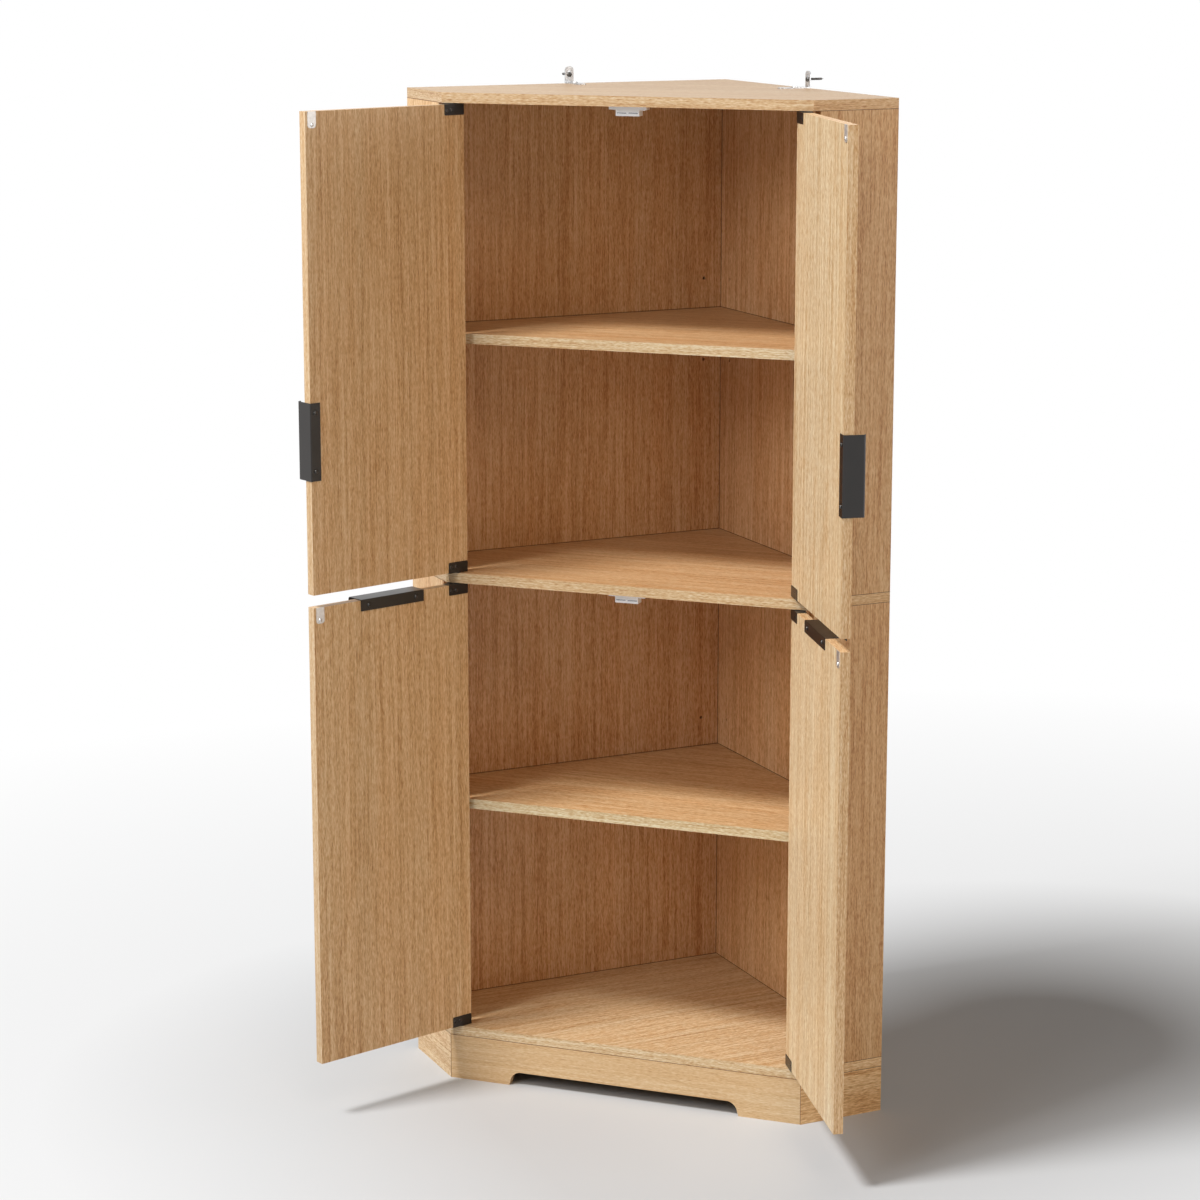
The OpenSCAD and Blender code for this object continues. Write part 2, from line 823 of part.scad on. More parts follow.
top_panel();
middle_panel();
bottom_panel();
back_board(LEFT, UP);  // upper_left_back
back_board(RIGHT, UP);  // upper_right_back
back_board(LEFT, LOW);  // lower_left_back
back_board(RIGHT, LOW);  // lower_right_back
return_board(LEFT, UP);  // upper_left_return
return_board(RIGHT, UP);  // upper_right_return
return_board(LEFT, LOW);  // lower_left_return
return_board(RIGHT, LOW);  // lower_right_return
plinth_front();
plinth_return(LEFT);  // plinth_left
plinth_return(RIGHT);  // plinth_right
plinth_back(LEFT);  // plinth_left_back
plinth_back(RIGHT);  // plinth_right_back
shelf(UP);  // upper_shelf
shelf(LOW);  // lower_shelf
shelf_pins(UP);  // upper_shelf_pins
shelf_pins(LOW);  // lower_shelf_pins
catch_housing(UP);  // upper_catch
catch_housing(LOW);  // lower_catch
catch_magnets();
catch_screws();
wall_bracket(LEFT);  // left_wall_bracket
wall_bracket(RIGHT);  // right_wall_bracket
bracket_screws();
wall_screws();
pivots(LEFT, UP);  // upper_left_pivots
pivots(RIGHT, UP);  // upper_right_pivots
pivots(LEFT, LOW);  // lower_left_pivots
pivots(RIGHT, LOW);  // lower_right_pivots
pivot_screws();
carcass_dowels();
plinth_dowels();
cam_locks();
cam_bolts();
door(LEFT, UP);  // upper_left_door
handle(LEFT, UP);  // upper_left_handle
hinge_leaves(LEFT, UP);  // upper_left_hinge_leaves
strike(LEFT, UP);  // upper_left_strike
door_screws(LEFT, UP);  // upper_left_screws
door(RIGHT, UP);  // upper_right_door
handle(RIGHT, UP);  // upper_right_handle
hinge_leaves(RIGHT, UP);  // upper_right_hinge_leaves
strike(RIGHT, UP);  // upper_right_strike
door_screws(RIGHT, UP);  // upper_right_screws
door(LEFT, LOW);  // lower_left_door
handle(LEFT, LOW);  // lower_left_handle
hinge_leaves(LEFT, LOW);  // lower_left_hinge_leaves
strike(LEFT, LOW);  // lower_left_strike
door_screws(LEFT, LOW);  // lower_left_screws
door(RIGHT, LOW);  // lower_right_door
handle(RIGHT, LOW);  // lower_right_handle
hinge_leaves(RIGHT, LOW);  // lower_right_hinge_leaves
strike(RIGHT, LOW);  // lower_right_strike
door_screws(RIGHT, LOW);  // lower_right_screws
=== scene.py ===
import json
import math
import bmesh
import bpy
from mathutils import Matrix, Vector


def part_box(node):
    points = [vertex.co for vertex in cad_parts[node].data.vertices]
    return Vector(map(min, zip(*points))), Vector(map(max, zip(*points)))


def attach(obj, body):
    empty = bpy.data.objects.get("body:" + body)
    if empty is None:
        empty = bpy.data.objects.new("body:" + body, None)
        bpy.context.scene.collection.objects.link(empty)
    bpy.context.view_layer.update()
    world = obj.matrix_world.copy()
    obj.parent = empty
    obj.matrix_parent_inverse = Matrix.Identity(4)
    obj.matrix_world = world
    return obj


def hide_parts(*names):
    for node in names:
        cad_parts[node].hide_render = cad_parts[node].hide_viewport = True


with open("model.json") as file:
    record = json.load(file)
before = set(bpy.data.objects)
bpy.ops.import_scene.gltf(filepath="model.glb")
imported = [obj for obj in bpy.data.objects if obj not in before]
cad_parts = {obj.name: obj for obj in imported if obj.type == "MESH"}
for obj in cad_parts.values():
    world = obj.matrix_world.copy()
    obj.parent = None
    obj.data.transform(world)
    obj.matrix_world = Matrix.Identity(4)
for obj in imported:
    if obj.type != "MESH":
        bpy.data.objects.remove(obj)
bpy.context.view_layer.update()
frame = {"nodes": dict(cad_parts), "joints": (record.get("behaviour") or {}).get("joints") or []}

# The cabinet is seen from standing height, a little right of its middle, by a long lens
# that is shifted down, so that upright edges lean together only slightly.
eye = bpy.data.objects.new("eye", bpy.data.cameras.new("eye"))
bpy.context.scene.collection.objects.link(eye)
eye.location = (1.58392, -4.94381, 1.87930)
eye.rotation_euler = (math.radians(78.9169), 0, math.radians(20.0617))
eye.data.sensor_width = 36
eye.data.lens = 93.239
eye.data.shift_y = -0.07
eye.data.clip_end = 60
bpy.context.scene.camera = eye


# The plinth is a ring of oak-patterned boards on edge, mitred at the two front corners
# and cut away under the apron. Its grain runs level, with long flame figures in front.
class Sock:
    """An output of a node; sums written with it become Math nodes."""

    def __init__(self, tree, out):
        self.tree = tree
        self.out = out

    def node(self, kind, settings=None, inputs=None, out=0):
        """A new node: its settings first, then the values or links of its sockets."""
        new = self.tree.nodes.new("ShaderNode" + kind)
        for key, value in (settings or {}).items():
            if key == "stops":
                while len(new.color_ramp.elements) < len(value):
                    new.color_ramp.elements.new(0.5)
                for stop, (place, shade) in zip(new.color_ramp.elements, value):
                    stop.position = place
                    stop.color = (*shade, 1)
            else:
                setattr(new, key, value)
        for key, value in (inputs or {}).items():
            if isinstance(value, Sock):
                self.tree.links.new(value.out, new.inputs[key])
            else:
                new.inputs[key].default_value = value
        return Sock(self.tree, new.outputs[out])

    def maths(self, operation, a, b=0.0):
        return self.node("Math", {"operation": operation}, {0: a, 1: b})

    def __add__(self, other):
        return self.maths("ADD", self, other)

    def __radd__(self, other):
        return self.maths("ADD", other, self)

    def __sub__(self, other):
        return self.maths("SUBTRACT", self, other)

    def __rsub__(self, other):
        return self.maths("SUBTRACT", other, self)

    def __mul__(self, other):
        return self.maths("MULTIPLY", self, other)

    def __rmul__(self, other):
        return self.maths("MULTIPLY", other, self)

    def __pow__(self, other):
        return self.maths("POWER", self, other)

    def __rpow__(self, other):
        return self.maths("POWER", other, self)

    def __gt__(self, other):
        return self.maths("GREATER_THAN", self, other)

    def __lt__(self, other):
        return self.maths("LESS_THAN", self, other)

    def __abs__(self):
        return self.maths("ABSOLUTE", self)

    def vector(self, operation, other=None, out=0):
        given = {0: self} if other is None else {0: self, 1: other}
        return self.node("VectorMath", {"operation": operation}, given, out)

    def dot(self, other):
        return self.vector("DOT_PRODUCT", other, "Value")

    def between(self, low, high, to_low=0.0, to_high=1.0):
        """Spreads low to high over another range, and holds what is past its ends."""
        ends = {"From Min": low, "From Max": high, "To Min": to_low, "To Max": to_high}
        return self.node("MapRange", {"clamp": True}, {"Value": self, **ends})

    def blend(self, a, b):
        """Colour a where this is 0, colour b where it is 1."""
        a, b = (shade if isinstance(shade, Sock) else (*shade, 1) for shade in (a, b))
        return self.node("Mix", {"data_type": "RGBA"}, {0: self, 6: a, 7: b}, 2)

    def noise(self, scale, detail, rough=0.5):
        """Cloudy noise from 0 to 1 at this place, with so many marks to a metre."""
        values = {"Vector": self, "Scale": scale, "Detail": detail, "Roughness": rough}
        return self.node("TexNoise", {}, values)


def new_finish(name, roughness, metallic=0.0):
    """A material, its shader node and the place on the piece, which its pattern starts from."""
    made = bpy.data.materials.new(name)
    made.use_nodes = True
    shader = made.node_tree.nodes["Principled BSDF"]
    shader.inputs["Roughness"].default_value = roughness
    shader.inputs["Metallic"].default_value = metallic
    return made, shader, Sock(made.node_tree, None).node("TexCoord", out="Object")


def feed(shader, socket, value):
    """Links a pattern into one socket of a shader."""
    value.tree.links.new(value.out, shader.inputs[socket])


def uneven(shader, height, strength, distance):
    """A relief on the surface, up to distance high in metres."""
    values = {"Strength": strength, "Distance": distance, "Height": height}
    feed(shader, "Normal", height.node("Bump", {}, values))


def colour(red, green, blue):
    """A colour as an eye reads it on a screen, 0 to 255, as light."""
    return tuple(((value / 255 + 0.055) / 1.055) ** 2.4 for value in (red, green, blue))


oak_dark, oak_mid, oak_light = colour(173, 123, 74), colour(206, 166, 121), colour(226, 197, 160)
untinted = (1, 1, 1)


def oak(name, grain, across, shift, flame=0.5, pith=(0.0, 0.07), pitch=75.0, taper=5.0, contrast=1.0,
        face_painted_light=untinted, far_painted_light=None, edge_painted_light=untinted, right_painted_light=None):
    """Light oak printed on a board, under a satin resin skin.

    grain and across lie in the board's face, which looks along their cross product, and
    shift gives each board a part of the pattern to itself. Growth rings stand round a
    pith at (across, behind) in metres: pitch of them to a metre, taper more for each
    metre along, and as dark as flame. The face, the far face, the edge bands and a band
    that looks to the front right have tints of their own, which are painted light and
    shade for how each of them is lit.
    """
    satin = 0.42
    made, shader, place = new_finish(name, satin)
    shader.inputs["Specular IOR Level"].default_value = 0.45
    grain, across = Vector(grain).normalized(), Vector(across).normalized()
    thick = grain.cross(across)
    spot = place.vector("ADD", shift)
    normal = place.node("TexCoord", out="Normal")
    # On an edge band the grain follows the edge
    through = spot.dot(thick)
    along_edge = spot.dot(normal.vector("CROSS_PRODUCT", thick))
    on_face = abs(normal.dot(thick)) > 0.5
    width = through + on_face * (spot.dot(across) - through)
    length = along_edge + on_face * (spot.dot(grain) - along_edge)
    depth = on_face * through

    def marks(wide, long, detail, rough=0.5, start=0.0, sway=0.0):
        """From -0.5 to 0.5, with so many marks to a metre across and along the grain."""
        sideways = (width + sway) * wide + start
        cell = place.node("CombineXYZ", {}, {0: sideways, 1: depth * wide, 2: length * long})
        return cell.noise(1.0, detail, rough) - 0.5

    drift = marks(5.0, 1.1, 2.0)
    wander = marks(22.0, 4.0, 1.0, start=5.3) * 0.005
    bands = marks(85.0, 0.8, 2.0, 0.6, 3.1)
    strands = marks(190.0, 2.2, 1.0, 0.5, 6.4, wander)
    streaks = marks(430.0, 6.0, 2.0, 0.6, 7.7, wander)
    fibres = marks(800.0, 64.0, 1.0, 0.6, 1.9, wander)
    specks = marks(820.0, 150.0, 1.0, 0.5, 2.6, wander)
    # Each growth ring is darkest in its early wood, soon after its start
    from_pith = width - pith[0] + drift * 0.16
    rings = (from_pith * from_pith + pith[1] ** 2) ** 0.5 * pitch + length * taper + drift * 1.2
    ring = rings.maths("FRACT", rings)
    early = ring.between(0.0, 0.42, 1.0, 0.0) * ring.between(0.0, 0.06) * flame
    layers = drift * 0.22 + bands * 0.45 + strands * 0.65 + streaks * 0.85 + fibres * 1.1 + specks * 1.15
    tone = layers * contrast + 0.555 - early * 0.24
    face = tone.node("ValToRGB", {"stops": [(0.1, oak_dark), (0.5, oak_mid), (0.9, oak_light)]}, {0: tone})
    # Each side of the board, and a band that looks to the front right, gets a tint of painted light and
    # shade, and broad warm and cool streaks lie over it
    looks_right = normal.dot((0.7071, -0.7071, 0)) > 0.995
    band_painted_light = looks_right.blend(edge_painted_light, right_painted_light or edge_painted_light)
    side_painted_light = (normal.dot(thick) > 0.0).blend(far_painted_light or face_painted_light, face_painted_light)
    warmth = marks(26.0, 1.0, 1.0, start=8.2).between(-0.2, 0.2)
    warm_tint = warmth.blend((1.012, 0.992, 0.97), (0.988, 1.008, 1.03))
    tint = on_face.blend(band_painted_light, side_painted_light).vector("MULTIPLY", warm_tint)
    # Open pores are darkest in the early wood
    pore = marks(760.0, 46.0, 1.0, start=4.4, sway=wander).between(0.11, 0.21) * (early + 0.45)
    pore_tint = (pore * 0.7).blend(untinted, (0.60, 0.43, 0.28))
    feed(shader, "Base Color", face.vector("MULTIPLY", tint).vector("MULTIPLY", pore_tint))
    feed(shader, "Roughness", satin + streaks * 0.10 + pore * 0.12)
    uneven(shader, streaks * 0.4 + fibres * 0.3 - pore, strength=0.12, distance=0.0004)
    return made


def dress(node, finish):
    """Gives a CAD node its finish."""
    for slot in frame["nodes"][node].material_slots:
        slot.material = finish


x_axis, y_axis, z_axis = (1, 0, 0), (0, 1, 0), (0, 0, 1)
to_left, to_right = (-1, 1, 0), (1, 1, 0)
# The tints are painted light and shade, set for how the apron and the two front returns are lit
dress("plinth_front", oak(
    "oak_apron", x_axis, z_axis, (0.31, 0.2, 0.45), flame=0.3, pith=(0.47, 0.03), pitch=120, taper=3.0,
    contrast=0.5, face_painted_light=(1.04, 1.11, 1.13)))
dress("plinth_left", oak(
    "oak_plinth_left", to_left, z_axis, (1.3, 0.4, 0.9), flame=0.7, pith=(0.95, 0.05),
    face_painted_light=(1.17, 1.27, 1.32)))
dress("plinth_right", oak(
    "oak_plinth_right", to_right, z_axis, (2.3, 0.1, 0.2), flame=0.7, pith=(0.22, 0.05),
    face_painted_light=(1.30, 1.24, 1.07)))
dress("plinth_left_back", oak("oak_plinth_left_back", to_right, z_axis, (3.3, 0.5, 0.1)))
dress("plinth_right_back", oak("oak_plinth_right_back", to_left, z_axis, (4.1, 0.3, 0.6)))


# Three level panels carry the load: the bottom one caps the plinth, the middle one parts
# the two cupboards, and the top one closes the cabinet. Their edges are banded.
# The tints are painted light and shade: the top face is darkened, the bands that look to the front right
# are lightened, and each other face and band is set for how it is lit
dress("bottom_panel", oak(
    "oak_bottom_panel", to_right, to_left, (0.4, 1.2, 0.3), flame=0.45, pith=(0.45, 0.05), pitch=60,
    taper=4.0, face_painted_light=(0.99, 1.08, 1.14), edge_painted_light=(1.00, 1.13, 1.22), right_painted_light=(1.30, 1.31, 1.22)))
dress("middle_panel", oak(
    "oak_middle_panel", x_axis, y_axis, (1.6, 0.3, 0.8), flame=0.35, pith=(-0.2, 0.10), pitch=60,
    taper=3.0, face_painted_light=(0.86, 0.82, 0.76), edge_painted_light=(0.89, 0.97, 1.00), right_painted_light=(1.16, 1.13, 1.00)))
dress("top_panel", oak(
    "oak_top_panel", x_axis, y_axis, (2.7, 0.8, 0.5), flame=0.30, pith=(0.5, 0.10), pitch=60,
    taper=3.0, face_painted_light=(0.71, 0.74, 0.76), edge_painted_light=(0.88, 0.94, 0.98), right_painted_light=(1.14, 1.09, 0.98)))


# The backs stand against the two room walls and the narrow returns close the front
# corners. Their grain is upright, and dowels and cam fittings hold them between panels.
def centre_of(node):
    """The middle of a CAD node's box."""
    low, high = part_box(node)
    return (low + high) / 2


# The tints are painted light and shade, set board by board for how each back and return is lit
left_return_painted_light, right_return_painted_light = (1.08, 1.06, 0.97), (1.05, 0.94, 0.77)
for board, across, shift, tint in (
    ("upper_left_back", to_right, (0.2, 0.6, 1.1), (1.03, 0.97, 0.89)),
    ("upper_right_back", to_left, (1.4, 0.2, 2.3), (1.05, 0.97, 0.91)),
    ("lower_left_back", to_right, (2.8, 1.6, 3.4), (1.07, 1.00, 0.95)),
    ("lower_right_back", to_left, (3.6, 0.9, 4.2), (1.18, 1.12, 1.05)),
    ("upper_left_return", to_left, (4.4, 1.1, 5.3), left_return_painted_light),
    ("upper_right_return", to_right, (5.2, 1.9, 6.1), right_return_painted_light),
    ("lower_left_return", to_left, (6.6, 0.7, 7.7), left_return_painted_light),
    ("lower_right_return", to_right, (7.1, 1.3, 8.2), right_return_painted_light),
):
    middle = (centre_of(board) + Vector(shift)).dot(Vector(across).normalized())
    dress(board, oak(
        "oak_" + board, z_axis, across, shift, flame=0.45, pith=(middle + 0.05, 0.09), pitch=70, taper=2.2,
        face_painted_light=tint, edge_painted_light=tint))


# A fine dark line runs wherever an edge band meets the next board and down the two mitred
# front corners of the plinth, partly glue line and partly painted shade of the hairline gap,
# and inside, as painted shade, where the backs meet each other and the levels.
def joint_line(mesh, start, end, low, high, proud=0.00012, deep=0.0006):
    """A hairline strip set into an outer face, from one plan point to another."""
    run = (Vector(end) - Vector(start)).normalized()
    out = Vector((run.y, -run.x))
    outline = [(proud, low), (proud, high), (-deep, high), (-deep, low)]
    first, last = (
        [mesh.verts.new((*(Vector(spot) + out * depth), level)) for depth, level in outline]
        for spot in (start, end))
    for n in range(4):
        after = (n + 1) % 4
        mesh.faces.new((first[n], last[n], last[after], first[after]))
    mesh.faces.new(first[::-1])
    mesh.faces.new(last)


def object_of(name, mesh, finishes):
    """Turns a working mesh into an object with these finishes."""
    bmesh.ops.recalc_face_normals(mesh, faces=mesh.faces)
    shape = bpy.data.meshes.new(name)
    mesh.to_mesh(shape)
    mesh.free()
    for finish in finishes:
        shape.materials.append(finish)
    made = bpy.data.objects.new(name, shape)
    bpy.context.scene.collection.objects.link(made)
    return made


half_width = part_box("top_panel")[1].x
half_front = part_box("plinth_front")[1].x
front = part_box("top_panel")[0].y
left_side, left_front = (-half_width, -half_width), (-half_front, front)
right_front, right_side = (half_front, front), (half_width, -half_width)
bottom_low, bottom_high = (corner.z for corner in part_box("bottom_panel"))
middle_low, middle_high = (corner.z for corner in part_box("middle_panel"))
top_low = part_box("top_panel")[0].z
half_hair = 0.0004
joint_mesh = bmesh.new()
for level in (bottom_low, bottom_high, middle_low, middle_high, top_low):
    joint_line(joint_mesh, left_side, left_front, level - half_hair, level + half_hair)
    joint_line(joint_mesh, right_front, right_side, level - half_hair, level + half_hair)
joint_line(joint_mesh, left_front, right_front, bottom_low - half_hair, bottom_low + half_hair)
# The lines down the mitres stop just over the floor
mitre_low, mitre_high = 0.0002, bottom_low - half_hair
for near, far in ((-half_front, -half_front + 2 * half_hair), (half_front - 2 * half_hair, half_front)):
    joint_line(joint_mesh, (near, front), (far, front), mitre_low, mitre_high)
# Inside, strips of painted shade run from the front end of each back to the corner where the two meet,
# along each level
back_thick, inner_line = 0.012, 0.0011
inner_corner = Vector((0, -back_thick * math.sqrt(2)))
back_low, back_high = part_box("lower_right_back")
inner_x, inner_y = back_high.x - back_thick / math.sqrt(2), back_low.y
for level in (bottom_high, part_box("lower_shelf")[1].z, middle_high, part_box("upper_shelf")[1].z):
    joint_line(joint_mesh, (-inner_x, inner_y), inner_corner, level, level + inner_line)
    joint_line(joint_mesh, inner_corner, (inner_x, inner_y), level, level + inner_line)
# A strip of painted shade runs up the inner corner where the backs meet
upright, half_upright = inner_corner + Vector((0, -0.00043)), Vector((0.0006, 0))
for low, high in ((bottom_high, middle_low), (middle_high, top_low)):
    joint_line(joint_mesh, upright - half_upright, upright + half_upright, low, high)
# Its dark brown is partly glue line and partly painted shade of the gaps and the inner corners
joint_glue_and_shade, shader, place = new_finish("joint_glue_and_painted_shade", 0.7)
feed(shader, "Base Color", place.noise(60.0, 3.0).blend(colour(92, 56, 30), colour(132, 90, 54)))
joint_lines = object_of("joint_lines", joint_mesh, [joint_glue_and_shade])
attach(joint_lines, "carcass")


# Beech dowels, zinc cam discs and their bolts join the boards out of sight. The dowels
# are turned and glued, and the discs are die-cast and plated.
beech, shader, place = new_finish("turned_beech", 0.6)
flecks = place.vector("MULTIPLY", (900, 900, 60)).noise(1.0, 2.0)
feed(shader, "Base Color", flecks.blend(colour(205, 172, 128), colour(226, 198, 158)))
dress("carcass_dowels", beech)
dress("plinth_dowels", beech)


def plated(name, dark, light, roughness):
    """Plated steel: a cloudy tone and a slightly uneven polish."""
    made, shader, place = new_finish(name, roughness, metallic=1.0)
    cloud = place.noise(160.0, 4.0, 0.6)
    feed(shader, "Base Color", cloud.between(0.3, 0.7).blend(colour(*dark), colour(*light)))
    feed(shader, "Roughness", roughness + (cloud - 0.5) * 0.22)
    uneven(shader, cloud, strength=0.12, distance=0.0002)
    return made


zinc = plated("zinc_plate", (176, 176, 178), (222, 222, 222), roughness=0.34)
bolt_steel = plated("yellowed_steel", (170, 160, 138), (206, 198, 176), roughness=0.38)
dress("cam_locks", zinc)
dress("cam_bolts", bolt_steel)


# A loose shelf in each cupboard lies on four steel pins, which are set in rows of holes
# in the backs and returns. The shelves are oak-patterned boards with banded edges.
# The shelves' tints are painted light and shade, set for how each face and front band is lit
dress("upper_shelf", oak(
    "oak_upper_shelf", x_axis, y_axis, (0.9, 1.7, 0.2), flame=0.3, pith=(1.5, 0.08), pitch=60, taper=3.0,
    face_painted_light=(0.87, 0.82, 0.75), edge_painted_light=(0.88, 1.02, 1.12)))
dress("lower_shelf", oak(
    "oak_lower_shelf", x_axis, y_axis, (3.9, 2.7, 1.2), flame=0.3, pith=(2.4, 0.08), pitch=60, taper=3.0,
    face_painted_light=(0.98, 0.96, 0.89), edge_painted_light=(0.98, 1.20, 1.33)))
dress("upper_shelf_pins", zinc)
dress("lower_shelf_pins", zinc)


# Under the top and middle panels sits a moulded white catch with a pair of magnets
# that hold the strike plates of both doors.
catch_plastic, shader, place = new_finish("white_moulding", 0.28)
shader.inputs["Specular IOR Level"].default_value = 1.0
moulded_skin = place.noise(900.0, 2.0)
feed(shader, "Base Color", moulded_skin.blend(colour(248, 248, 249), colour(254, 254, 254)))
uneven(shader, moulded_skin, strength=0.08, distance=0.0002)
dress("upper_catch", catch_plastic)
dress("lower_catch", catch_plastic)
dress("catch_magnets", plated("magnet_pole", (120, 120, 122), (160, 160, 162), roughness=0.45))


# Screws have a formed head with a cross recess and a rolled thread. Two small ones with
# bright pan heads hold each catch by its feet.
def turned(mesh, place, profile, slot, sides=24):
    """A turned shape: profile is (radius, height) from above down to its lower end."""
    rows = []
    for radius, height in profile:
        turns = [math.tau * k / sides for k in range(sides if radius else 1)]
        ring = [Vector((radius * math.cos(turn), radius * math.sin(turn), height)) for turn in turns]
        rows.append([mesh.verts.new(place @ spot) for spot in ring])
    for upper, lower in zip(rows, rows[1:]):
        for k in range(sides):
            after = k + 1
            ring = [
                upper[k % len(upper)], lower[k % len(lower)],
                lower[after % len(lower)], upper[after % len(upper)]]
            # At the point, which is a single corner, this leaves a triangle
            face = mesh.faces.new(list(dict.fromkeys(ring)))
            face.smooth = True
            face.material_index = slot
    return rows


def rolled_thread(mesh, place, core, crest, top, bottom, pitch, slot, sides=16):
    """A thread wound round a core, which runs out at both ends."""
    steps = int((top - bottom) / pitch * sides)
    rows = []
    for k in range(steps + 1):
        turn, start = math.tau * k / sides, top - pitch * k / sides
        cos, sin = math.cos(turn), math.sin(turn)
        out = core + (crest - core) * min(1.0, k / sides, (steps - k) / sides)
        # The thread's section: how far out it stands at each share of the pitch
        section = [(core, 0.0), (out, 0.26), (out, 0.38), (core, 0.62)]
        ring = [Vector((wide * cos, -wide * sin, start - pitch * share)) for wide, share in section]
        rows.append([mesh.verts.new(place @ spot) for spot in ring])
    for k in range(steps):
        here, there = rows[k], rows[k + 1]
        strips = [(here[n], there[n], there[n + 1], here[n + 1]) for n in range(3)]
        if k + sides < steps:
            strips.append((here[3], there[3], rows[k + 1 + sides][0], rows[k + sides][0]))
        for strip in strips:
            face = mesh.faces.new(strip)
            face.smooth = True
            face.material_index = slot


def screw(mesh, spot, towards, head_d, head_h, shank_d, length, slot=0, tip=0.003, sunk=False):
    """One screw: spot is on the face of what it holds, and towards points out of that face."""
    turn = Vector(towards).normalized().to_track_quat("Z", "Y")
    place = Matrix.Translation(spot) @ turn.to_matrix().to_4x4()
    radius, core = head_d / 2, shank_d * 0.36
    if sunk:
        crown, thread_top = 0.0, -head_h * 1.2
        head = [(radius, 0.0), (core, -head_h)]
    else:
        crown, thread_top = head_h, -0.0006
        # The dome, in shares of the head's radius and height
        dome = [(0.86, 0.72), (0.97, 0.34), (1.0, 0.06), (0.98, 0.0)]
        head = [(radius * wide, head_h * high) for wide, high in dome] + [(core, 0.0)]
    point = [(core, tip - length), (0.0, -length)]
    rows = turned(mesh, place, [(radius * 0.66, crown * 0.94)] + head + point, slot)
    arm, half = radius * 0.52, radius * 0.13
    cross = [
        (arm, half), (half, half), (half, arm), (-half, arm), (-half, half), (-arm, half),
        (-arm, -half), (-half, -half), (-half, -arm), (half, -arm), (half, -half), (arm, -half)]
    recess = crown - min(head_h, shank_d) * 0.6
    rim = [mesh.verts.new(place @ Vector((x, y, crown))) for x, y in cross]
    sole = [mesh.verts.new(place @ Vector((x * 0.55, y * 0.7, recess))) for x, y in cross]
    flat = [mesh.faces.new(sole)]
    for n in range(len(cross)):
        after = (n + 1) % len(cross)
        outer = [rows[0][(2 * n + k) % len(rows[0])] for k in (3, 2, 1)]
        flat.append(mesh.faces.new((rim[n], sole[n], sole[after], rim[after])))
        flat.append(mesh.faces.new((rim[n], rim[after], *outer)))
    for face in flat:
        face.material_index = slot
    rolled_thread(mesh, place, core, shank_d / 2, thread_top, tip * 0.6 - length, shank_d * 0.42, slot)


def screw_set(name, body, node, screws, finishes):
    """All the screws of one CAD node as one piece that rides with it."""
    mesh = bmesh.new()
    for spot, towards, sizes in screws:
        screw(mesh, spot, towards, **sizes)
    piece = object_of(name, mesh, finishes)
    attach(piece, body)
    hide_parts(node)
    return piece


bright_screw = plated("bright_screw", (196, 196, 197), (232, 232, 232), roughness=0.27)
catch_pan = {"head_d": 0.0055, "head_h": 0.0015, "shank_d": 0.0028, "length": 0.014}
low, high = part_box("catch_screws")
seat_x, seat_y = high.x - catch_pan["head_d"] / 2, (low.y + high.y) / 2
catch_foot = middle_low - low.z - catch_pan["head_h"]
catch_screws = [
    ((x, seat_y, ceiling - catch_foot), (0, 0, -1), catch_pan)
    for ceiling in (middle_low, top_low) for x in (-seat_x, seat_x)]
catch_set = screw_set("catch_pan_screws", "carcass", "catch_screws", catch_screws, [bright_screw])


# Two zinc-plated angle brackets stand on the top panel's rear edges and are screwed
# through their slots to the walls, so that the cabinet can't tip.
dress("left_wall_bracket", zinc)
dress("right_wall_bracket", zinc)
bracket_pan = {"head_d": 0.0085, "head_h": 0.0024, "shank_d": 0.004, "length": 0.013}
low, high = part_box("bracket_screws")
seat_x, seat_y = high.x - bracket_pan["head_d"] / 2, (low.y + high.y) / 2
bracket_screws = [
    ((side * seat_x, seat_y, high.z - bracket_pan["head_h"]), (0, 0, 1), bracket_pan) for side in (-1, 1)]
bracket_set = screw_set("bracket_pan_screws", "carcass", "bracket_screws", bracket_screws, [bright_screw])
dark_screw = plated("dark_screw", (74, 72, 70), (112, 110, 108), roughness=0.32)
wall_pan = {"head_d": 0.0085, "head_h": 0.0024, "shank_d": 0.004, "length": 0.029, "tip": 0.006}
low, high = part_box("wall_screws")
reach = wall_pan["length"] / math.sqrt(2)
wall_screws = [
    ((side * (high.x - reach), high.y - reach, (low.z + high.z) / 2), (-side, -1, 0), wall_pan)
    for side in (-1, 1)]
wall_set = screw_set("wall_fixing_screws", "carcass", "wall_screws", wall_screws, [dark_screw])


# Each door turns on a pin at its top and bottom: a black plate with the pin is screwed
# to the panel, and a bent black leaf is screwed to the inner face of the door.
black, shader, place = new_finish("black_coated_steel", 0.34)
orange_peel, smudge = place.noise(700.0, 3.0), place.noise(38.0, 3.0)
feed(shader, "Base Color", smudge.blend(colour(22, 18, 16), colour(33, 28, 25)))
feed(shader, "Roughness", 0.26 + smudge * 0.12)
uneven(shader, orange_peel, strength=0.10, distance=0.0003)
doors = ("upper_left", "upper_right", "lower_left", "lower_right")
for door in doors:
    dress(door + "_pivots", black)
    dress(door + "_hinge_leaves", black)
dress("pivot_screws", black)


# The four doors are plain oak-patterned boards with upright grain and banded edges,
# standing open well past square.
hinges = {joint["child"]: joint for joint in frame["joints"]}
open_angle = math.radians(-hinges["upper_left_door_set"]["range_deg"][0])
